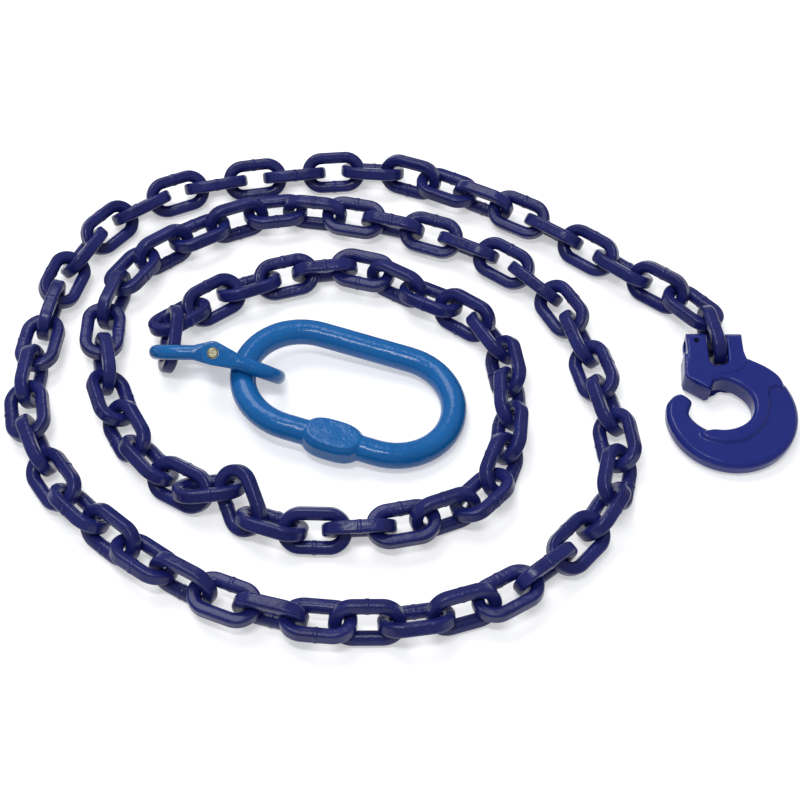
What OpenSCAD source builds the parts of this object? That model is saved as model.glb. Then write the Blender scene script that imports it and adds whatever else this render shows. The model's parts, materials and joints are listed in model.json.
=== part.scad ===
/* [Show] */
// which piece to draw, "all" for the whole chain

/* [Chain link] */
// thickness of the link bar
bar = 8; // [7:0.1:9]
// inside length of a link
pitch = 28.4; // [27:0.1:30]
// outside width of a link
link_w = 28; // [26:0.5:30]
// corner radius on the outer side of the bar
outer_r = 2; // [1:0.1:3.5]
// play between two crowns that hang in each other
play = 0.6; // [0.3:0.1:1.5]

/* [Master link] */
// bar diameter of the master link
ring_bar = 15.5; // [14:0.5:18]
// inside length of the master link
ring_len = 120; // [100:1:130]
// inside width of the master link
ring_wid = 56; // [50:1:66]

/* [Coupling] */
// bar of the two bows
bow_bar = 9; // [8:0.5:10]
// width of one eye along the load pin
eye_w = 8; // [6:0.5:9]
// diameter of one eye
eye_d = 15; // [13:0.5:18]
// diameter of the coupling's load pin
cpin_d = 7; // [6:0.5:9]
// width of the middle sleeve
sleeve_w = 17; // [14:0.5:19]

/* [Hook] */
// thickness of the hook's blade
hook_t = 14; // [12:0.5:18]
// height of the two clevis ears
ear_t = 18; // [15:0.5:21]
// diameter of the hook's load pin
hpin_d = 9; // [8:0.5:10]
// width of the clevis slot
slot_w = 13; // [10:0.5:14]

/* [Hidden] */
$fn = 48;
count = 88;
half = (pitch + bar) / 2;
bend_r = (link_w - bar) / 2;
leg = half - bend_r;
eps = 0.01;

// the lay is drawn for links of 28.4 mm, and opens out with longer ones
opened = pitch / 28.4;
function on_lay(c) = [c[0] * opened, c[1] * opened, c[2]];
// the way the chain lies, from the coupling to the hook, in plan
drawn = [
  [-150, 26], [-145, 57], [-120, 84], [-72, 104], [-50, 109], [-28, 109], [19, 84], [44, 71], [61, 51], [67, 26],
  [67, -27], [61, -55], [47, -74], [22, -88], [-31, -96], [-58, -96], [-83, -91], [-108, -71], [-128, -68],
  [-139, -60], [-156, -43], [-181, 4], [-192, 57], [-178, 109], [-139, 141], [-89, 163], [-64, 163], [-33, 157],
  [17, 143], [64, 120], [103, 81], [122, 25], [133, -28], [133, -56], [122, -81], [86, -122], [39, -150],
  [-17, -158], [-72, -153], [-125, -131], [-172, -97], [-208, -61], [-231, -11], [-231, 42], [-222, 103],
  [-200, 149], [-156, 182], [-100, 196], [-44, 204], [-17, 204], [6, 199], [33, 185], [83, 160], [128, 128],
  [172, 92], [192, 78], [203, 61], [203, 30]];
route = drawn * opened;
start_at = 14 * opened;
lay_z = 14;
// the middle of the lay on the floor, which is the origin of the part
middle = on_lay([-1, 22.5, -0.5]);
// how far the roll of the links has drifted from the plain run of +45 and -45 degrees
drift = [
  [1, 90], [4, 90], [5, 84], [6, 70], [7, 54], [8, 38], [9, 22], [10, 10], [11, 0], [14, 0], [15, -8], [16, -23],
  [17, -31], [18, -49], [19, -72], [20, -90], [26, -90], [27, -104], [28, -116], [29, -128],
  [30, -138], [31, -146], [32, -150], [34, -148], [35, -140], [36, -132], [37, -120], [38, -110], [40, -100],
  [45, -100], [46, -97], [47, -100], [48, -92], [49, -84], [50, -72], [51, -56], [52, -40], [53, -24],
  [54, -10], [55, -18], [56, -34], [57, -50], [58, -46], [59, -34], [60, -20], [61, -10], [62, 0], [63, 12],
  [64, 26], [65, 30], [66, 32], [67, 42], [68, 56], [69, 72], [70, 86], [71, 90], [77, 92], [78, 100], [79, 116],
  [80, 132], [81, 148], [82, 162], [83, 172], [84, 180], [85, 186], [86, 196], [87, 210], [88, 225]];
// how far slack links lean over, beyond 45 degrees, until they rest on their neighbours
lean = [
  [1, 9], [3, 9], [4, 12], [5, 4], [6, 0], [9, 0], [10, 0], [11, 5], [12, 7], [13, 10], [14, 7], [15, 0], [18, 0],
  [20, 0], [21, 6], [22, 10], [23, 10], [24, 2], [25, 0], [88, 0]];
// slack in each joint, on top of the play
slack = [[1, 2], [16, 1.8], [21, 1.6], [22, 9.2], [23, 9.2], [24, 0.25], [38, 0.3], [52, 0.3], [56, 0.1], [88, 0.1]];

// links that lie off the run of the others: link, centre, turn, pitch and roll
astray = [
  [1, [-146.8, 45.5, 17.4], 85, -24, 115],
  [2, [-143, 66, 15.3], 43, 7, -25],
  [22, [-94.4, -77.6, 16], 113, -26, 139],
  [23, [-113.5, -68.6, 15.4], -172, -1, 34]];

function unit(v) = v / norm(v);
function near(i) = route[min(max(i, 0), len(route) - 1)];
function span(i) = max(norm(near(i + 1) - near(i)), 0.001);
function tang(i, s) = i <= 0 || i >= len(route) - 1
  ? unit(near(min(i + 1, len(route) - 1)) - near(max(i - 1, 0))) * s
  : (near(i + 1) - near(i - 1)) / (span(i - 1) + span(i)) * s;
function first_tang(i, s) = i == 0 ? near(1) - near(0) : tang(i, s);
function last_tang(i, s) = i == len(route) - 1 ? near(i) - near(i - 1) : tang(i, s);
sub = 10;
curve = concat(
  [for (i = [0 : len(route) - 2], k = [0 : sub - 1])
    let (u = k / sub, s = span(i), a = first_tang(i, s), b = last_tang(i + 1, s))
    (2 * u ^ 3 - 3 * u ^ 2 + 1) * near(i) + (u ^ 3 - 2 * u ^ 2 + u) * a
      + (3 * u ^ 2 - 2 * u ^ 3) * near(i + 1) + (u ^ 3 - u ^ 2) * b],
  [route[len(route) - 1]]);
lens = [for (i = 0, d = 0; i < len(curve); i = i + 1, d = i < len(curve) ? d + norm(curve[i] - curve[i - 1]) : d) d];
along_x = [for (i = [0 : len(curve) - 1]) [lens[i], curve[i][0]]];
along_y = [for (i = [0 : len(curve) - 1]) [lens[i], curve[i][1]]];
function at(s) = [lookup(s, along_x), lookup(s, along_y)];

// one frame is [centre, along, across, normal, place on the route]
function roll(k) = (k % 2 == 0 ? 1 : -1) * (45 + lookup(k, lean)) + lookup(k, drift);
function rest_z(ph) =
  let (a = abs(sin(ph)), b = abs(cos(ph))) bend_r * max(a, b) + (bar / 2 - outer_r) * (a + b) + outer_r + 0.2;
function along(th) = [cos(th), sin(th), 0];
function normal(th, ph) = [sin(th) * sin(ph), -cos(th) * sin(ph), cos(ph)];
function frame(c, th, ph, s) =
  let (t = along(th), n = normal(th, ph)) [c, t, cross(n, t), n, s];
function reach(g, s, l, n) = n == 0 ? s : reach(g, s + l - norm(at(s) - g), l, n - 1);
function next(f, k) =
  let (
    c = play + lookup(k, slack),
    g = f[0] + (half - bar - c) * f[1],
    p = [g[0], g[1]],
    s = reach(p, f[4] + 3 * half - bar - c, 2 * half, 3),
    aim = at(s) - p,
    th = atan2(aim[1], aim[0]),
    h = frame([0, 0, 0], th, roll(k + 1), s - half),
    w0 = unit(cross(f[2], h[2])),
    w1 = w0 * (f[1] + h[1]) < 0 ? -w0 : w0,
    rise = rest_z(roll(k + 1)) - f[0][2] + (bar + c) * w1[2],
    w = unit(w1 - [0, 0, min(max(rise, -1.2), 1.2) / (bar + c)]))
  frame(f[0] + half * f[1] - (bar + c) * w + half * h[1], th, roll(k + 1), s - half);
ahead = at(2 * start_at) - at(start_at);
first = frame([at(start_at)[0], at(start_at)[1], lay_z], atan2(ahead[1], ahead[0]), roll(1), start_at);
lay = [for (k = 1, f = first; k <= count; f = k < count ? next(f, k) : f, k = k + 1) f];

module bar_section() {
  circle(d = bar);
  translate([0, -bar / 2]) square([bar / 2 - outer_r, bar]);
  translate([0, outer_r - bar / 2]) square([bar / 2, bar - 2 * outer_r]);
  for (s = [-1, 1]) translate([bar / 2 - outer_r, s * (bar / 2 - outer_r)]) circle(r = outer_r);
}

// a link along X, open along Z, centred
module plain_link() {
  for (s = [0, 180]) rotate([0, 0, s]) {
    translate([leg, 0, 0]) rotate([0, 0, -90]) rotate_extrude(angle = 180) translate([bend_r, 0]) bar_section();
    translate([-leg, 0, 0]) rotate([90, 0, 90]) linear_extrude(height = 2 * leg)
      translate([bend_r, 0]) bar_section();
  }
}

module laid(c) {
  translate(c - middle) children();
}

module place(c, x, y, z) {
  laid(c) multmatrix([[x[0], y[0], z[0], 0], [x[1], y[1], z[1], 0], [x[2], y[2], z[2], 0], [0, 0, 0, 1]])
    children();
}

module chain_link(k) {
  f = lay[k - 1];
  off = search(k, astray, 1, 0);
  if (len(off) == 0) place(f[0], f[1], f[2], f[3]) plain_link();
  for (i = off) laid(on_lay(astray[i][1])) rotate([astray[i][4], astray[i][3], astray[i][2]]) plain_link();
}

// master link, in its own frame: long way along X, flat on Z
ring_r = (ring_wid + ring_bar) / 2;
ring_leg = (ring_len + ring_bar) / 2 - ring_r;
pad_r = 27;
pad_x = 4;
pad_y = -ring_r - 1;
ring_turn = -20;
ring_tilt = 5.5;

module pad_outline(inset) {
  intersection_for (s = [-1, 1]) translate([0, s * 13]) circle(r = pad_r - inset);
}

module master_link() {
  laid(ring_at) rotate([0, ring_tilt, ring_turn]) difference() {
    union() {
      for (s = [0, 180]) rotate([0, 0, s]) {
        translate([ring_leg, 0, 0]) rotate([0, 0, -90]) rotate_extrude(angle = 180)
          translate([ring_r, 0]) circle(d = ring_bar);
        translate([-ring_leg, ring_r, 0]) rotate([0, 90, 0]) cylinder(d = ring_bar, h = 2 * ring_leg);
      }
      translate([pad_x, pad_y, -5.5]) linear_extrude(height = 11) pad_outline(0);
    }
    for (s = [0, 1]) mirror([0, 0, s]) translate([pad_x, pad_y, 4.8]) linear_extrude(height = 6) pad_outline(1.5);
  }
}

// coupling: its load pin stands along Z of this frame
link_1_way = [cos(astray[0][2]) * cos(astray[0][3]), sin(astray[0][2]) * cos(astray[0][3]), -sin(astray[0][3])];
cp_at = on_lay(astray[0][1]) + [28.8, -17, 6.6] - (pitch - 28.4) / 2 * link_1_way;
ring_at = cp_at + [87, -23, -9.4];
cp_z = unit([0.12, -0.63, 0.77]);
cp_x = unit([1, 0, 0] - cp_z[0] * cp_z);
cp_y = cross(cp_z, cp_x);
turn_a = 179;
turn_b = -20;
reach_a = 40;
reach_b = 48.2;
bow_r = 17;
bow_z = 4;
eye_gap = 0.15;

module coupling() {
  place(cp_at, cp_x, cp_y, cp_z) children();
}

// one half, its bow along X, its outer eye on the side of up
module half_shape(far, up) {
  x1 = far - bow_bar / 2 - bow_r;
  difference() {
    union() {
      for (z = [up * (bow_z + bow_r), up * (bow_z - bow_r)]) {
        translate([0, 0, z - eye_w / 2 + eye_gap]) cylinder(d = eye_d, h = eye_w - 2 * eye_gap);
        translate([0, 1.5 - eye_d / 2, z - eye_w / 2 + eye_gap]) cube([10, eye_d - 3, eye_w - 2 * eye_gap]);
        translate([9.5, 0, z]) rotate([0, 90, 0]) cylinder(d = bow_bar, h = x1 - 9.5);
        translate([10, 0, z]) sphere(d = eye_d - 3);
      }
      translate([x1, 0, up * bow_z]) rotate([90, 0, 0]) rotate([0, 0, -90]) rotate_extrude(angle = 180)
        translate([bow_r, 0]) circle(d = bow_bar);
    }
    translate([0, 0, -30]) cylinder(d = cpin_d + 0.3, h = 60);
    for (z = [up * (bow_z + bow_r), up * (bow_z - bow_r)], s = [-1, 1])
      translate([0, 0, z + s * (eye_w / 2 - eye_gap + 4) - 4]) cylinder(d = eye_d + 1.6, h = 8);
  }
}

module coupling_half_chain() {
  coupling() rotate([0, 0, turn_a]) half_shape(reach_a, -1);
}

module coupling_half_ring() {
  coupling() rotate([0, 0, turn_b]) half_shape(reach_b, 1);
}

module coupling_load_pin() {
  coupling() {
    translate([0, 0, -24.6]) cylinder(d = cpin_d, h = 49.2);
    for (s = [0, 1]) mirror([0, 0, s]) translate([0, 0, 24.5]) cylinder(d1 = cpin_d, d2 = cpin_d - 2, h = 1);
  }
}

module coupling_sleeve() {
  coupling() difference() {
    translate([0, 0, -sleeve_w / 2]) cylinder(d = 13, h = sleeve_w);
    translate([0, 0, -sleeve_w]) cylinder(d = cpin_d + 0.3, h = 2 * sleeve_w);
  }
}

// hook, its load pin along X through the origin, the slot open towards +Y
seat = lay[count - 1];
pin_play = 0.3;
hook_at = seat[0] + ((pitch - hpin_d) / 2 - pin_play) * seat[1] + [0.3, 0, -0.6];
hook_tilt = 4.6;
rim = [2.6, -49.7];
bowl = [-3.4, -47.2];
rim_r = 40;
bowl_r = 20.5;

module hook() {
  laid(hook_at) rotate([hook_tilt, 0, 0]) children();
}

module rounded_disc(r, t, e) {
  rotate_extrude() {
    translate([0, -t / 2]) square([r - e, t]);
    translate([0, e - t / 2]) square([r, t - 2 * e]);
    for (s = [-1, 1]) translate([r - e, s * (t / 2 - e)]) circle(r = e);
  }
}

module hook_body() {
  hook() difference() {
    union() {
      difference() {
        translate([rim[0], rim[1], 0]) rounded_disc(rim_r, hook_t - 2, 4);
        linear_extrude(height = 40, center = true)
          polygon([[-70, -39.7], [-31.4, -39.7], [-27.4, -39.7], [-23.4, -42.7], [-21.4, -45.7], [-10, -41],
            [-10, -8], [-70, -8]]);
      }
      intersection() {
        translate([bowl[0], bowl[1], 0]) cylinder(r = 31, h = hook_t + 1.6, center = true);
        linear_extrude(height = 40, center = true)
          polygon([[0, -47], [60, -38], [60, -110], [-20, -110], [-18, -76]]);
      }
      linear_extrude(height = hook_t, center = true)
        polygon([[-19.4, -8], [-20.4, -17.7], [-22.4, -26.7], [-23.4, -30.7], [-12.4, -41.7], [-7.4, -31.7],
          [0, -24], [10, -22], [15.6, -12], [15.6, -8]]);
      for (x = [-19.6, 6]) intersection() {
        translate([x, -30, -ear_t / 2]) cube([x < 0 ? 13.6 : 9.8, 38.5, ear_t]);
        union() {
          rotate([0, 90, 0]) cylinder(d = ear_t, h = 60, center = true);
          translate([-30, -20, -ear_t / 2]) cube([60, 20, ear_t]);
        }
      }
      translate([-19.6, -20, -ear_t / 2]) cube([35.4, 6, ear_t]);
    }
    translate([bowl[0], bowl[1], 0]) cylinder(r = bowl_r, h = 40, center = true);
    translate([-slot_w / 2, -12, -20]) cube([slot_w, 40, 40]);
    translate([0, -12, 0]) cylinder(d = slot_w, h = 40, center = true);
    rotate([0, 90, 0]) cylinder(d = hpin_d + 0.3, h = 60, center = true);
    translate([-13.5, 0, -20]) cylinder(d = 3.8, h = 40);
  }
}

module hook_load_pin() {
  hook() difference() {
    translate([-17.6, 0, 0]) rotate([0, 90, 0]) cylinder(d = hpin_d, h = 32);
    translate([-13.5, 0, -20]) cylinder(d = 3.8, h = 40);
  }
}

module hook_lock_pin() {
  hook() translate([-13.5, 0, -7.5]) difference() {
    cylinder(d = 3.5, h = 15);
    translate([0, 0, 1]) cylinder(d = 1.8, h = 15);
  }
}

module link_01() {
  chain_link(1);
}

module link_02() {
  chain_link(2);
}

module link_03() {
  chain_link(3);
}

module link_04() {
  chain_link(4);
}

module link_05() {
  chain_link(5);
}

module link_06() {
  chain_link(6);
}

module link_07() {
  chain_link(7);
}

module link_08() {
  chain_link(8);
}

module links_09_10() {
  chain_link(9);
  chain_link(10);
}

module links_11_12() {
  chain_link(11);
  chain_link(12);
}

module links_13_14() {
  chain_link(13);
  chain_link(14);
}

module links_15_16() {
  chain_link(15);
  chain_link(16);
}

module links_17_18() {
  chain_link(17);
  chain_link(18);
}

module links_19_20() {
  chain_link(19);
  chain_link(20);
}

module links_21_22() {
  chain_link(21);
  chain_link(22);
}

module links_23_24() {
  chain_link(23);
  chain_link(24);
}

module links_25_26() {
  chain_link(25);
  chain_link(26);
}

module links_27_28() {
  chain_link(27);
  chain_link(28);
}

module links_29_30() {
  chain_link(29);
  chain_link(30);
}

module links_31_32() {
  chain_link(31);
  chain_link(32);
}

module links_33_34() {
  chain_link(33);
  chain_link(34);
}

module links_35_36() {
  chain_link(35);
  chain_link(36);
}

module links_37_38() {
  chain_link(37);
  chain_link(38);
}

module links_39_40() {
  chain_link(39);
  chain_link(40);
}

module links_41_42() {
  chain_link(41);
  chain_link(42);
}

module links_43_44() {
  chain_link(43);
  chain_link(44);
}

module links_45_46() {
  chain_link(45);
  chain_link(46);
}

module links_47_48() {
  chain_link(47);
  chain_link(48);
}

module links_49_50() {
  chain_link(49);
  chain_link(50);
}

module links_51_52() {
  chain_link(51);
  chain_link(52);
}

module links_53_54() {
  chain_link(53);
  chain_link(54);
}

module links_55_56() {
  chain_link(55);
  chain_link(56);
}

module links_57_58() {
  chain_link(57);
  chain_link(58);
}

module links_59_60() {
  chain_link(59);
  chain_link(60);
}

module links_61_62() {
  chain_link(61);
  chain_link(62);
}

module links_63_64() {
  chain_link(63);
  chain_link(64);
}

module links_65_66() {
  chain_link(65);
  chain_link(66);
}

module links_67_68() {
  chain_link(67);
  chain_link(68);
}

module links_69_70() {
  chain_link(69);
  chain_link(70);
}

module links_71_72() {
  chain_link(71);
  chain_link(72);
}

module links_73_74() {
  chain_link(73);
  chain_link(74);
}

module links_75_76() {
  chain_link(75);
  chain_link(76);
}

module links_77_78() {
  chain_link(77);
  chain_link(78);
}

module links_79_80() {
  chain_link(79);
  chain_link(80);
}

module link_81() {
  chain_link(81);
}

module link_82() {
  chain_link(82);
}

module link_83() {
  chain_link(83);
}

module link_84() {
  chain_link(84);
}

module link_85() {
  chain_link(85);
}

module link_86() {
  chain_link(86);
}

module link_87() {
  chain_link(87);
}

module link_88() {
  chain_link(88);
}

master_link();
coupling_half_ring();
coupling_load_pin();
coupling_sleeve();
coupling_half_chain();
link_01();
link_02();
link_03();
link_04();
link_05();
link_06();
link_07();
link_08();
links_09_10();
links_11_12();
links_13_14();
links_15_16();
links_17_18();
links_19_20();
links_21_22();
links_23_24();
links_25_26();
links_27_28();
links_29_30();
links_31_32();
links_33_34();
links_35_36();
links_37_38();
links_39_40();
links_41_42();
links_43_44();
links_45_46();
links_47_48();
links_49_50();
links_51_52();
links_53_54();
links_55_56();
links_57_58();
links_59_60();
links_61_62();
links_63_64();
links_65_66();
links_67_68();
links_69_70();
links_71_72();
links_73_74();
links_75_76();
links_77_78();
links_79_80();
link_81();
link_82();
link_83();
link_84();
link_85();
link_86();
link_87();
link_88();
hook_body();
hook_load_pin();
hook_lock_pin();
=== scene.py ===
import bpy
import bmesh
import json
import math
from mathutils import Vector, Matrix

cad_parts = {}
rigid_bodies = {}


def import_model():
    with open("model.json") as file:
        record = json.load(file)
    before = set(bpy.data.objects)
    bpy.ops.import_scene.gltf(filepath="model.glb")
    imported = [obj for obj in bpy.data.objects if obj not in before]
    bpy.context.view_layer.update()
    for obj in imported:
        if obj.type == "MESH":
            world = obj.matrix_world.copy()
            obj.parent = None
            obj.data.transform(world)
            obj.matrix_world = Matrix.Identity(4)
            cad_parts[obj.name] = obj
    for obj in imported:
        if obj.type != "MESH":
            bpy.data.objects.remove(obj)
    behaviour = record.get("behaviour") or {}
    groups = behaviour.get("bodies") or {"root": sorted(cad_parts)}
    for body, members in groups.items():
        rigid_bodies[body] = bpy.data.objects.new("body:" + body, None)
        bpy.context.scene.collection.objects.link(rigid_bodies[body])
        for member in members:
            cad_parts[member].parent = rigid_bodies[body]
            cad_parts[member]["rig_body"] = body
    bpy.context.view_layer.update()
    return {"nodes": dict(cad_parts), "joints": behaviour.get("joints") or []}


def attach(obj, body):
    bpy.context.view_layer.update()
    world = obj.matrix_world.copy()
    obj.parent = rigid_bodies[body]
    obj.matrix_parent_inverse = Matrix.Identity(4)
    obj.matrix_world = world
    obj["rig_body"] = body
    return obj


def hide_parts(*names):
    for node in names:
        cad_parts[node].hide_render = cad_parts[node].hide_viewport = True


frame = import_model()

scene = bpy.context.scene
bpy.ops.object.select_all(action="DESELECT")

# ---------------------------------------------------------------- camera
# A long lens high in front of the lay, looking down on it at 52 degrees, as the photograph was taken.
# Its place and tilt were found from the shape of the coil and from how much the flat links are foreshortened.
camera_at, off_plumb, roll = (0.001, -0.6011, 0.76485), 37.6, 0.12
camera_data = bpy.data.cameras.new("camera")
camera_data.sensor_width = 36
camera_data.lens = 68.36
camera = bpy.data.objects.new("camera", camera_data)
scene.collection.objects.link(camera)
camera.matrix_world = (Matrix.Translation(camera_at) @ Matrix.Rotation(math.radians(off_plumb), 4, "X")
                       @ Matrix.Rotation(math.radians(roll), 4, "Z"))
scene.camera = camera

# ---------------------------------------------------------------- studio floor
# A plain white sweep of paper. It stays white to the camera and in the gloss, and keeps a soft shadow, because the
# glow that whitens it is seen only by camera, glossy and transmission rays and lights nothing.
paper_glow = 0.42
bpy.ops.mesh.primitive_plane_add(size=9, location=(0, 1.5, 0))
floor = bpy.context.object
floor.name = "floor"
paper = bpy.data.materials.new("white_paper")
paper.use_nodes = True
nodes, links = paper.node_tree.nodes, paper.node_tree.links
nodes.clear()
paper_out = nodes.new("ShaderNodeOutputMaterial")
sheet_matt = nodes.new("ShaderNodeBsdfDiffuse")
sheet_matt.inputs["Color"].default_value = (0.86, 0.86, 0.87, 1)
sheet_glow = nodes.new("ShaderNodeEmission")
sheet_glow.inputs["Color"].default_value = (1, 1, 1, 1)
ray = nodes.new("ShaderNodeLightPath")
seen, seen_through = nodes.new("ShaderNodeMath"), nodes.new("ShaderNodeMath")
seen.operation = seen_through.operation = "MAXIMUM"
seen_strength = nodes.new("ShaderNodeMath")
seen_strength.operation = "MULTIPLY"
seen_strength.inputs[1].default_value = paper_glow
both = nodes.new("ShaderNodeAddShader")
links.new(ray.outputs["Is Camera Ray"], seen.inputs[0])
links.new(ray.outputs["Is Glossy Ray"], seen.inputs[1])
links.new(seen.outputs[0], seen_through.inputs[0])
links.new(ray.outputs["Is Transmission Ray"], seen_through.inputs[1])
links.new(seen_through.outputs[0], seen_strength.inputs[0])
links.new(seen_strength.outputs[0], sheet_glow.inputs["Strength"])
links.new(sheet_matt.outputs[0], both.inputs[0])
links.new(sheet_glow.outputs[0], both.inputs[1])
links.new(both.outputs[0], paper_out.inputs["Surface"])
floor.data.materials.append(paper)

# ---------------------------------------------------------------- studio light
# Two soft boxes over the lay and a bright room round it, so the enamel shows long soft highlights. The large one
# hangs behind the lay, and a narrow strip in front lights the near edges.
world = bpy.data.worlds.new("bright_room")
scene.world = world
world.use_nodes = True
room = world.node_tree.nodes["Background"]
room.inputs["Color"].default_value = (0.96, 0.98, 1, 1)
room.inputs["Strength"].default_value = 0.42


def soft_box(name, place, aim, size, watts):
    data = bpy.data.lights.new(name, "AREA")
    data.shape = "RECTANGLE"
    data.size, data.size_y = size
    data.energy = watts
    lamp = bpy.data.objects.new(name, data)
    scene.collection.objects.link(lamp)
    lamp.location = place
    lamp.rotation_euler = (Vector(aim) - Vector(place)).to_track_quat("-Z", "Y").to_euler()


soft_box("overhead_box", (-0.35, 0.55, 1.3), (0, 0, 0), (0.9, 0.7), 9)
soft_box("front_strip", (-0.15, -0.45, 1.35), (0, 0, 0), (0.5, 0.12), 6)
scene.view_settings.view_transform = "Standard"


# ---------------------------------------------------------------- chain
# Square link chain: each link is a bent and welded length of square steel bar with round corners on the inside.
# The chain is dipped, so one coat of dark blue enamel covers bar, weld and scale alike.
def enamel_group():
    """One coat of dipped enamel: its colour, its gloss, and the peel and dents in its surface."""
    group = bpy.data.node_groups.new("enamel", "ShaderNodeTree")
    for name, kind in (("Colour", "Color"), ("Thin Colour", "Color"), ("Gloss", "Float"), ("Peel", "Float"),
                       ("Scale Marks", "Float")):
        group.interface.new_socket(name=name, in_out="INPUT", socket_type="NodeSocket" + kind)
    for name, kind in (("Colour", "Color"), ("Roughness", "Float"), ("Height", "Float")):
        group.interface.new_socket(name=name, in_out="OUTPUT", socket_type="NodeSocket" + kind)
    nodes, links = group.nodes, group.links
    given = nodes.new("NodeGroupInput").outputs
    made = nodes.new("NodeGroupOutput").inputs
    place = nodes.new("ShaderNodeTexCoord").outputs["Object"]

    def noise(scale, detail):
        texture = nodes.new("ShaderNodeTexNoise")
        texture.inputs["Scale"].default_value = scale
        texture.inputs["Detail"].default_value = detail
        links.new(place, texture.inputs["Vector"])
        return texture.outputs["Fac"]

    def spread(value, **limits):
        span = nodes.new("ShaderNodeMapRange")
        for limit, amount in limits.items():
            span.inputs[limit.replace("_", " ").title()].default_value = amount
        links.new(value, span.inputs["Value"])
        return span.outputs["Result"]

    def worked(operation, first, second):
        step = nodes.new("ShaderNodeMath")
        step.operation = operation
        links.new(first, step.inputs[0])
        links.new(second, step.inputs[1])
        return step.outputs[0]

    # thick and thin places in the coat
    cloud = noise(55, 4)
    mix = nodes.new("ShaderNodeMix")
    mix.data_type = "RGBA"
    links.new(spread(cloud, from_min=0.35, from_max=0.68), mix.inputs["Factor"])
    links.new(given["Thin Colour"], mix.inputs["A"])
    links.new(given["Colour"], mix.inputs["B"])
    # specks of dust and bare scale in the coat
    specks = spread(noise(900, 2), from_min=0.66, from_max=0.74)
    dark = nodes.new("ShaderNodeMix")
    dark.data_type = "RGBA"
    dark.inputs["B"].default_value = (0.012, 0.012, 0.03, 1)
    links.new(worked("MULTIPLY", specks, given["Scale Marks"]), dark.inputs["Factor"])
    links.new(mix.outputs["Result"], dark.inputs["A"])
    links.new(dark.outputs["Result"], made["Colour"])
    # gloss changes a little from place to place
    links.new(worked("MULTIPLY", spread(cloud, to_min=0.8, to_max=1.25), given["Gloss"]), made["Roughness"])
    # orange peel with the dents of the forging under it
    peel = worked("MULTIPLY", noise(420, 3), given["Peel"])
    links.new(worked("ADD", peel, noise(130, 2)), made["Height"])
    return group


coat_of_enamel = enamel_group()


def enamel(name, colour, thin, gloss, peel, marks, depth):
    """A thick and a thin colour, roughness, share of orange peel, share of specks, and depth of the surface in m."""
    material = bpy.data.materials.new(name)
    material.use_nodes = True
    nodes, links = material.node_tree.nodes, material.node_tree.links
    skin = nodes["Principled BSDF"]
    coat = nodes.new("ShaderNodeGroup")
    coat.node_tree = coat_of_enamel
    coat.inputs["Colour"].default_value = (*colour, 1)
    coat.inputs["Thin Colour"].default_value = (*thin, 1)
    coat.inputs["Gloss"].default_value = gloss
    coat.inputs["Peel"].default_value = peel
    coat.inputs["Scale Marks"].default_value = marks
    bump = nodes.new("ShaderNodeBump")
    bump.inputs["Distance"].default_value = depth
    bump.inputs["Strength"].default_value = 1
    links.new(coat.outputs["Colour"], skin.inputs["Base Color"])
    links.new(coat.outputs["Roughness"], skin.inputs["Roughness"])
    links.new(coat.outputs["Height"], bump.inputs["Height"])
    links.new(bump.outputs["Normal"], skin.inputs["Normal"])
    skin.inputs["Coat Weight"].default_value = 0.08
    skin.inputs["Coat Roughness"].default_value = 0.14
    skin.inputs["IOR"].default_value = 1.34
    return material


chain_enamel = enamel("dark_blue_enamel", (0.007, 0.010, 0.100), (0.014, 0.019, 0.140),
                      gloss=0.27, peel=0.35, marks=0.5, depth=0.0006)


def paint(node, material):
    piece = frame["nodes"][node]
    piece.data.materials.clear()
    piece.data.materials.append(material)


for node in frame["nodes"]:
    if node.startswith("link"):
        paint(node, chain_enamel)

# The weld of each link: a low seam where the two ends of the bar were butted and welded, halfway along one leg.
# It is modelled once as a band round the bar and copied into every link at the link's own place.
bar = 0.008
leg_to_leg = 0.020
weld_long = 0.0032
weld_high = 0.00028
weld_rings = (0, -0.0012, -0.0006, 0.0006, 0.0012)
square_corner = 1.19  # reach of the bar's rounded outer corners, in half bars


def link_frames(piece):
    """The middle and the three directions (long, wide, thick) of every link in one node, by the spread of its skin."""
    shell = bmesh.new()
    shell.from_mesh(piece.data)
    bmesh.ops.remove_doubles(shell, verts=shell.verts, dist=1e-6)
    # a dict keeps the order of the faces, so the sums below come out the same in every run
    left, found = dict.fromkeys(shell.faces), []
    while left:
        start = left.popitem()[0]
        island, edge_of_island = [start], [start]
        while edge_of_island:
            face = edge_of_island.pop()
            for edge in face.edges:
                for other in edge.link_faces:
                    if other in left:
                        del left[other]
                        island.append(other)
                        edge_of_island.append(other)
        area = sum(face.calc_area() for face in island)
        middle = sum((face.calc_center_median() * face.calc_area() for face in island), Vector()) / area
        spread = Matrix(((0, 0, 0), (0, 0, 0), (0, 0, 0)))
        for face in island:
            share = face.calc_area() / 12
            corners = [vert.co - middle for vert in face.verts]
            centre = sum(corners, Vector()) / 3
            for point, weight in [(c, share) for c in corners] + [(centre, share * 9)]:
                for i in range(3):
                    for j in range(3):
                        spread[i][j] += weight * point[i] * point[j]
        found.append((middle, principal_directions(spread)))
    shell.free()
    return found


def principal_directions(spread):
    """Turns the spread by small rotations until it is diagonal (Jacobi), and sorts its axes from long to thin."""
    turned = Matrix.Identity(3)
    for _ in range(12):
        for i, j in ((0, 1), (0, 2), (1, 2)):
            if abs(spread[i][j]) < 1e-22:
                continue
            angle = 0.5 * math.atan2(2 * spread[i][j], spread[j][j] - spread[i][i])
            step = Matrix.Identity(3)
            step[i][i] = step[j][j] = math.cos(angle)
            step[i][j] = math.sin(angle)
            step[j][i] = -math.sin(angle)
            spread = step.transposed() @ spread @ step
            turned = turned @ step
    order = sorted(range(3), key=lambda i: -spread[i][i])
    long_way, wide_way = (turned.col[i].normalized() for i in order[:2])
    return long_way, wide_way, long_way.cross(wide_way)


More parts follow.
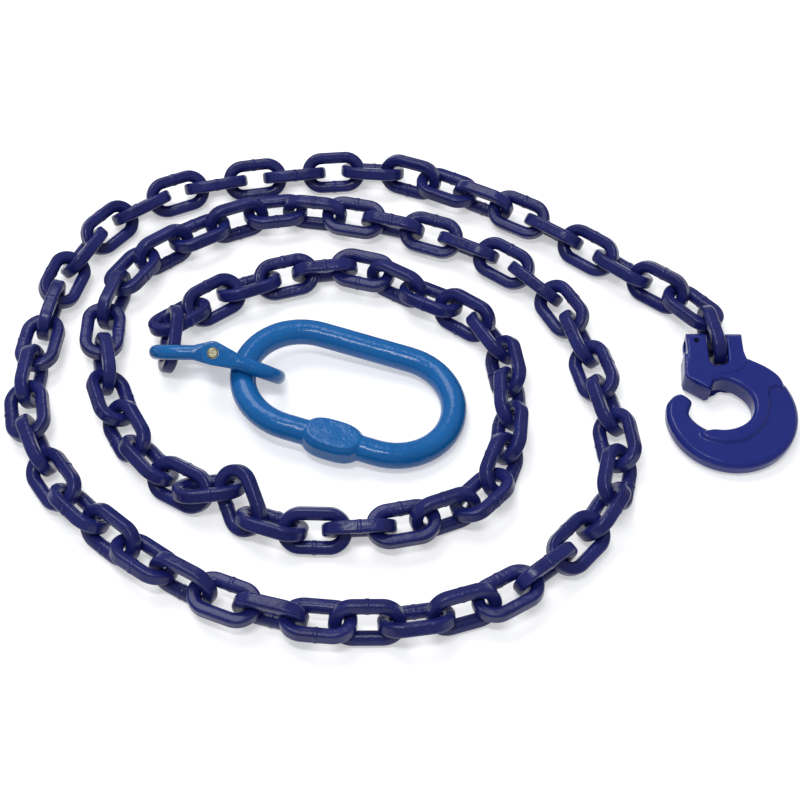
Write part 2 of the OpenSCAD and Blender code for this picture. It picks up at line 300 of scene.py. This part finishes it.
def weld_band():
    """One weld, long way along X, round the bar of a leg whose middle is at the origin, raised and uneven."""
    bpy.ops.object.select_all(action="DESELECT")
    bpy.ops.mesh.primitive_cylinder_add(vertices=32, radius=bar / 2, depth=weld_long, end_fill_type="NGON",
                                        rotation=(0, math.radians(90), 0))
    band = bpy.context.object
    bpy.ops.object.transform_apply(location=True, rotation=True, scale=True)
    bpy.ops.object.mode_set(mode="EDIT")
    for cut in weld_rings:
        bpy.ops.mesh.select_all(action="SELECT")
        bpy.ops.mesh.bisect(plane_co=(cut, 0, 0), plane_no=(1, 0, 0))
    bpy.ops.object.mode_set(mode="OBJECT")
    for vert in band.data.vertices:
        across, up = vert.co.y, vert.co.z
        turn = math.atan2(up, across)
        # the bar's own section: round inside, square with rounded corners outside
        reach = bar / 2
        if across > 0:
            square = bar / 2 / max(abs(math.cos(turn)), abs(math.sin(turn)))
            reach = min(square, bar / 2 * square_corner)
        swell = math.cos(vert.co.x / weld_long * math.pi) ** 0.7 if abs(vert.co.x) < weld_long / 2 - 1e-5 else -0.35
        rough = 0.25 * math.sin(turn * 5 + vert.co.x * 4000) + 0.15 * math.sin(turn * 11 + 1)
        reach += weld_high * (swell * (1 + rough))
        vert.co.y, vert.co.z = reach * math.cos(turn), reach * math.sin(turn)
    return band


weld_shape = weld_band()
for node, link in list(frame["nodes"].items()):
    if not node.startswith("link"):
        continue
    welds = bmesh.new()
    for middle, (long_way, wide_way, thick_way) in link_frames(link):
        place = Matrix.Identity(4)
        for row in range(3):
            place[row][0], place[row][1], place[row][2] = long_way[row], wide_way[row], thick_way[row]
            place[row][3] = middle[row] + wide_way[row] * leg_to_leg / 2
        part = weld_shape.data.copy()
        part.transform(place)
        welds.from_mesh(part)
        bpy.data.meshes.remove(part)
    mesh = bpy.data.meshes.new("weld")
    welds.to_mesh(mesh)
    welds.free()
    seam = bpy.data.objects.new("weld_" + node.split("_", 1)[1], mesh)
    scene.collection.objects.link(seam)
    for polygon in mesh.polygons:
        polygon.use_smooth = True
    mesh.materials.append(chain_enamel)
    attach(seam, link["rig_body"])
bpy.data.objects.remove(weld_shape)


# ---------------------------------------------------------------- hook
# Clevis choker hook, drop forged in one piece and dipped in the same dark blue enamel: a round blade, a raised
# shoulder that runs on as a rib round the bowl, a lug over the mouth and two ears. It is built from one plate for
# each level of the forging, then the plates are made one skin with the round edges and hollows of a forging.
mm = 0.001


def only(piece):
    bpy.ops.object.select_all(action="DESELECT")
    piece.select_set(True)
    bpy.context.view_layer.objects.active = piece


def rounded_run(corners, per_span=5):
    """Points on a smooth closed curve through the given corners."""
    run, count = [], len(corners)
    for i in range(count):
        p0, p1, p2, p3 = (Vector(corners[(i + k) % count]) for k in (-1, 0, 1, 2))
        for j in range(per_span):
            t = j / per_span
            run.append(0.5 * (2 * p1 + (p2 - p0) * t + (2 * p0 - 5 * p1 + 4 * p2 - p3) * t * t
                              + (3 * p1 - p0 - 3 * p2 + p3) * t ** 3))
    return run


def drawn_in(outline, distance):
    """The outline moved inwards (or outwards where negative) by a distance in mm, its close points kept apart."""
    ring = [Vector(point) for point in outline]
    count = len(ring)
    area = sum(ring[i].x * ring[(i + 1) % count].y - ring[(i + 1) % count].x * ring[i].y for i in range(count))
    side = 1 if area > 0 else -1
    moved = []
    for i in range(count):
        before, after = (ring[i] - ring[i - 1]).normalized(), (ring[(i + 1) % count] - ring[i]).normalized()
        way = before + after
        normal = Vector((-way.y, way.x)).normalized() * side
        moved.append(ring[i] + normal * distance)
    return moved


def forged_plate(outline, half_height, slope, rise=None):
    """A plate of the given outline in mm, as thick each way from the parting line, with edges that slope back."""
    rise = slope if rise is None else rise
    mesh = bpy.data.meshes.new("plate")
    levels = [(-half_height, slope), (rise - half_height, slope * 0.29), (1.7 * rise - half_height, 0),
              (half_height - 1.7 * rise, 0), (half_height - rise, slope * 0.29), (half_height, slope)]
    if not slope:
        levels = [(-half_height, 0), (half_height, 0)]
    count, corners, faces = len(outline), [], []
    for height, back in levels:
        corners += [(x * mm, y * mm, height * mm) for x, y in drawn_in(outline, back)]
    for level in range(len(levels) - 1):
        for i in range(count):
            j = (i + 1) % count
            faces.append((level * count + i, level * count + j, (level + 1) * count + j, (level + 1) * count + i))
    faces += [list(range(count))[::-1], list(range((len(levels) - 1) * count, len(levels) * count))]
    mesh.from_pydata(corners, [], faces)
    piece = bpy.data.objects.new("plate", mesh)
    scene.collection.objects.link(piece)
    only(piece)
    bpy.ops.object.mode_set(mode="EDIT")
    bpy.ops.mesh.select_all(action="SELECT")
    bpy.ops.mesh.normals_make_consistent(inside=False)
    bpy.ops.object.mode_set(mode="OBJECT")
    return piece


def one_forging(name, parts, grain, passes):
    """The parts as one closed skin, with the edges and hollows between them rounded."""
    bpy.ops.object.select_all(action="DESELECT")
    for part in parts:
        part.select_set(True)
    bpy.context.view_layer.objects.active = parts[0]
    bpy.ops.object.join()
    piece = bpy.context.object
    piece.name = name
    piece.data.name = name
    piece.data.remesh_voxel_size = grain
    bpy.ops.object.voxel_remesh()
    soften = piece.modifiers.new("soften", "SMOOTH")
    soften.factor = 0.5
    soften.iterations = passes
    bpy.ops.object.modifier_apply(modifier="soften")
    bpy.ops.object.shade_smooth()
    return piece


def finished(piece, place, coat, finish, *nodes):
    """Puts a finished piece at its place, in its mesh, and lets it stand for its CAD nodes."""
    piece.data.transform(place)
    piece.data.materials.clear()
    piece.data.materials.append(coat)
    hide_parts(*nodes)
    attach(piece, frame["nodes"][nodes[0]]["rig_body"])


def drilled(piece, radius, depth, middle, turn):
    """Drills a round hole through the piece, after the forging."""
    bpy.ops.object.select_all(action="DESELECT")
    bpy.ops.mesh.primitive_cylinder_add(vertices=48, radius=radius * mm, depth=depth * mm,
                                        location=[v * mm for v in middle], rotation=turn)
    drill = bpy.context.object
    only(piece)
    hole = piece.modifiers.new("hole", "BOOLEAN")
    hole.object = drill
    hole.operation = "DIFFERENCE"
    hole.solver = "MANIFOLD"
    bpy.ops.object.modifier_apply(modifier="hole")
    bpy.data.objects.remove(drill)
    bpy.ops.object.shade_smooth_by_angle(angle=math.radians(50))


blade_centre, blade_radius = (4.0, -50.2), 41.0
bowl_top = [(-7.5, -34.5), (-5.2, -30.2), (-0.5, -28.3), (4.5, -29.2), (10.0, -32.4), (15.2, -37.6), (17.8, -44.0),
            (17.2, -51.6), (13.2, -58.4), (6.2, -63.0), (-1.5, -64.9), (-8.5, -64.6), (-14.6, -62.0),
            (-19.6, -57.6)]
rim_run = [(blade_centre[0] + blade_radius * math.cos(math.radians(a)),
            blade_centre[1] + blade_radius * math.sin(math.radians(a))) for a in range(28, -182, -7)]
tip_run = [(-36.2, -46.0), (-34.0, -42.0), (-30.4, -38.4), (-26.2, -37.2), (-21.8, -40.4), (-20.0, -43.6),
           (-21.6, -48.0), (-22.6, -52.4)]
neck_run = [(-22.6, -22.4), (-20.5, -21.2), (-12.0, -21.6), (0.0, -22.4), (9.0, -21.4), (15.0, -16.4), (17.2, -12.2),
            (21.0, -13.6), (29.0, -18.4), (35.4, -24.4)]
blade = forged_plate(rounded_run(rim_run + tip_run + bowl_top[::-1] + [(-9.5, -35.6), (-22.4, -27.0)] + neck_run),
                     5.6, 2.6, 1.6)
band_out = [(37.9, -34.6), (35.4, -35.2), (32.4, -34.0), (28.6, -37.0), (28.2, -44.6), (26.0, -54.7), (21.0, -63.5),
            (13.6, -70.6), (5.8, -74.2), (-3.8, -75.0), (-11.9, -73.2), (-17.0, -70.4), (-17.4, -66.8),
            (-12.6, -65.2)]
raised = forged_plate(rounded_run(band_out + bowl_top[11::-1] + [(-9.5, -35.6), (-22.4, -27.0)] + neck_run
                                  + [(38.0, -30.0)]), 7.8, 1.7, 1.2)
lug = forged_plate([(-22.0, -8.0), (-23.2, -24.0), (-22.8, -27.0), (-9.6, -35.8), (-7.2, -33.0), (-4.0, -23.5),
                    (-16.0, -17.5)], 8.6, 0.9)
ears = [forged_plate([(x0, 5.6), (x0, -15.0), (x1, -15.0), (x1, 5.6), (x1 - 0.9, 7.8), (x1 - 3.0, 9.0),
                      (x0 + 3.0, 9.0), (x0 + 0.9, 7.8)], 9.0, 0.9) for x0, x1 in ((-19.8, -6.7), (5.4, 15.9))]
slot_floor = [(-0.65 + 6.05 * math.cos(math.radians(a)), -13.6 + 6.05 * math.sin(math.radians(a)))
              for a in range(0, -181, -15)]
yoke = forged_plate([(15.9, -8.0), (5.4, -8.0)] + slot_floor + [(-6.7, -8.0), (-19.8, -8.0), (-21.2, -14.0),
                     (-22.2, -20.0), (-14.0, -22.0), (-3.0, -25.2), (6.0, -24.8), (13.0, -21.6), (17.6, -15.4),
                     (16.6, -11.0)], 8.8, 0.7)
hook = one_forging("hook_forging", [blade, raised, lug, yoke] + ears, 0.55 * mm, 8)
# the ears end round, about the load pin
ear_end = 9.2 * mm
for vert in hook.data.vertices:
    if vert.co.y > 0:
        most = math.sqrt(max(ear_end ** 2 - vert.co.y ** 2, 1e-9))
        vert.co.z = max(-most, min(most, vert.co.z))
load_pin_bore, lock_pin_bore, lock_pin_side = 4.65, 1.9, -13.5
drilled(hook, load_pin_bore, 60, (0, 0, 0), (0, math.radians(90), 0))
drilled(hook, lock_pin_bore, 40, (lock_pin_side, 0, 0), (0, 0, 0))
hook_pin_at = next(j for j in frame["joints"] if j["name"] == "hook_swing")["pos_m"]
hook_tilt = math.radians(4.6)
hook_place = Matrix.Translation(hook_pin_at) @ Matrix.Rotation(hook_tilt, 4, "X")
hook_enamel = enamel("hook_blue_enamel", (0.010, 0.019, 0.190), (0.014, 0.023, 0.205),
                     gloss=0.22, peel=0.2, marks=0.25, depth=0.0004)
finished(hook, hook_place, hook_enamel, "dark_blue", "hook_body")
# the two pins are rolled dark steel, set back in their bores; they are painted nearly black, partly their own dark
# steel and partly painted shade for the shadowed bores and the slot between the ears
pin_painted_shade = enamel("dark_steel_and_painted_shade_pin", (0.004, 0.005, 0.030), (0.008, 0.009, 0.040),
                  gloss=0.45, peel=0.2, marks=0.2, depth=0.0002)
paint("hook_load_pin", pin_painted_shade)
paint("hook_lock_pin", pin_painted_shade)

# ---------------------------------------------------------------- master link
# Master link of round bar, bent to a long ring and welded, with a flat oval pad pressed on one long side.
# It is dipped in a lighter blue enamel than the chain, which covers the pad as well.
ring_bar, ring_turn, ring_leg = 16.3, 38.0, 29.35
bpy.ops.object.select_all(action="DESELECT")
bpy.ops.mesh.primitive_circle_add(vertices=40, radius=ring_bar / 2 * mm, location=(ring_leg * mm, -ring_turn * mm, 0),
                                  rotation=(0, math.radians(90), 0))
ring_bar_bent = bpy.context.object
bpy.ops.object.transform_apply(location=True, rotation=True, scale=True)
bpy.ops.object.mode_set(mode="EDIT")
bpy.ops.mesh.select_all(action="SELECT")
bpy.ops.mesh.spin(steps=30, angle=-math.pi, center=(ring_leg * mm, 0, 0), axis=(0, 0, 1))
bpy.ops.mesh.extrude_region_move(TRANSFORM_OT_translate={"value": (-2 * ring_leg * mm, 0, 0)})
bpy.ops.mesh.spin(steps=30, angle=-math.pi, center=(-ring_leg * mm, 0, 0), axis=(0, 0, 1))
bpy.ops.mesh.extrude_region_move(TRANSFORM_OT_translate={"value": (2 * ring_leg * mm, 0, 0)})
bpy.ops.mesh.select_all(action="SELECT")
bpy.ops.mesh.remove_doubles(threshold=1e-6)
bpy.ops.mesh.normals_make_consistent(inside=False)
bpy.ops.object.mode_set(mode="OBJECT")
pad_half_long, pad_half_wide, pad_half_thick = 19.4, 12.2, 8.6


def squared(value, power):
    """A sine or cosine flattened towards 1, which makes an oval with fuller corners."""
    return math.copysign(abs(value) ** power, value)


pad_outline = [(1.6 + pad_half_long * squared(math.cos(math.radians(a)), 0.7),
                -ring_turn - 0.2 + pad_half_wide * squared(math.sin(math.radians(a)), 0.9))
               for a in range(0, 360, 8)]
pad = forged_plate(pad_outline, pad_half_thick, 3.0, 2.6)
ring = one_forging("ring_forging", [ring_bar_bent, pad], 0.6 * mm, 7)
ring_at, ring_heading, ring_tilt = (-0.0313, -0.0179, 0.0154), math.radians(-15.8), math.radians(5.5)
ring_place = (Matrix.Translation(ring_at) @ Matrix.Rotation(ring_heading, 4, "Z")
              @ Matrix.Rotation(ring_tilt, 4, "Y"))
ring_enamel = enamel("light_blue_enamel", (0.004, 0.112, 0.365), (0.008, 0.128, 0.395),
                     gloss=0.18, peel=0.3, marks=0.6, depth=0.0005)
finished(ring, ring_place, ring_enamel, "light_blue", "master_link")

# ---------------------------------------------------------------- coupling
# Two forged bows whose eyes mesh round one load pin. Each arm tapers from its eye into the round bow. The pin is
# bare steel, riveted over at its ends, and a sleeve keeps it from the inside.
coupling_up = Vector((0.12, -0.63, 0.77)).normalized()
coupling_along = (Vector((1, 0, 0)) - coupling_up.x * coupling_up).normalized()
coupling_across = coupling_up.cross(coupling_along)
coupling_place = Matrix.Translation((-0.117, 0.006, 0.0245))
for row in range(3):
    for col, way in enumerate((coupling_along, coupling_across, coupling_up)):
        coupling_place[row][col] = way[row]
bow_bar, bow_turn, bow_off = 9.0, 17.0, 4.0
bow_flat = 1.05  # the bar of a bow is a little wider across the bow than along it
eye_radius, eye_half, eye_bore = 7.5, 3.6, 3.65
into_arm = 3  # how far the bent bar starts inside its arms


def tapered_arm(height, taper_end):
    """From the eye round the pin, narrowing to the round bar of the bow."""
    bpy.ops.object.select_all(action="DESELECT")
    bpy.ops.mesh.primitive_cylinder_add(vertices=40, radius=eye_radius * mm, depth=2 * eye_half * mm,
                                        location=(0, 0, height * mm))
    arm = bpy.context.object
    bpy.ops.object.transform_apply(location=True, rotation=True, scale=True)
    bpy.ops.object.mode_set(mode="EDIT")
    bpy.ops.mesh.primitive_circle_add(vertices=32, radius=bow_bar / 2 * mm, fill_type="NGON",
                                      location=(taper_end * mm, 0, height * mm), rotation=(0, math.radians(90), 0))
    bpy.ops.mesh.select_all(action="SELECT")
    bpy.ops.mesh.convex_hull()
    bpy.ops.object.mode_set(mode="OBJECT")
    return arm


def bow(name, reach, up, turn, taper_end, node):
    """One half of the coupling: two arms with their eyes and the bent bar between them, turned about the load pin."""
    straight_end = reach - bow_bar / 2 - bow_turn
    heights = [up * bow_off + bow_turn, up * bow_off - bow_turn]
    parts = [tapered_arm(height, taper_end) for height in heights]
    bpy.ops.object.select_all(action="DESELECT")
    bpy.ops.mesh.primitive_circle_add(vertices=32, radius=bow_bar / 2 * mm, fill_type="NGON",
                                      location=((taper_end - into_arm) * mm, 0, heights[0] * mm),
                                      rotation=(0, math.radians(90), 0))
    bent = bpy.context.object
    bpy.ops.object.transform_apply(location=True, rotation=True, scale=True)
    bpy.ops.object.mode_set(mode="EDIT")
    bpy.ops.mesh.select_all(action="SELECT")
    straight = (straight_end - taper_end + into_arm) * mm
    bpy.ops.mesh.extrude_region_move(TRANSFORM_OT_translate={"value": (straight, 0, 0)})
    bpy.ops.mesh.spin(steps=24, angle=-math.pi, center=(straight_end * mm, 0, up * bow_off * mm), axis=(0, 1, 0))
    bpy.ops.mesh.extrude_region_move(TRANSFORM_OT_translate={"value": (-straight, 0, 0)})
    bpy.ops.mesh.select_all(action="SELECT")
    bpy.ops.mesh.normals_make_consistent(inside=False)
    bpy.ops.object.mode_set(mode="OBJECT")
    bent.data.transform(Matrix.Diagonal((1, bow_flat, 1, 1)))
    half = one_forging(name, parts + [bent], 0.4 * mm, 5)
    drilled(half, eye_bore, 60, (0, 0, 0), (0, 0, 0))
    finished(half, coupling_place @ Matrix.Rotation(math.radians(turn), 4, "Z"), ring_enamel, "light_blue", node)


bow("coupling_bow_ring_side", reach=48.2, up=1, turn=-20, taper_end=19.0, node="coupling_half_ring")
bow("coupling_bow_chain_side", reach=40.0, up=-1, turn=179, taper_end=13.0, node="coupling_half_chain")
paint("coupling_sleeve", ring_enamel)

pin_steel = bpy.data.materials.new("pin_steel")
pin_steel.use_nodes = True
nodes, links = pin_steel.node_tree.nodes, pin_steel.node_tree.links
skin = nodes["Principled BSDF"]
skin.inputs["Metallic"].default_value = 0.85
skin.inputs["Base Color"].default_value = (0.42, 0.40, 0.27, 1)
place = nodes.new("ShaderNodeTexCoord")
mottle = nodes.new("ShaderNodeTexNoise")
mottle.inputs["Scale"].default_value = 700
links.new(place.outputs["Object"], mottle.inputs["Vector"])
tone = nodes.new("ShaderNodeMapRange")
tone.inputs["To Min"].default_value = 0.25
tone.inputs["To Max"].default_value = 0.6
links.new(mottle.outputs["Fac"], tone.inputs["Value"])
links.new(tone.outputs["Result"], skin.inputs["Roughness"])
pin_bump = nodes.new("ShaderNodeBump")
pin_bump.inputs["Distance"].default_value = 0.0003
links.new(mottle.outputs["Fac"], pin_bump.inputs["Height"])
links.new(pin_bump.outputs["Normal"], skin.inputs["Normal"])
paint("coupling_load_pin", pin_steel)
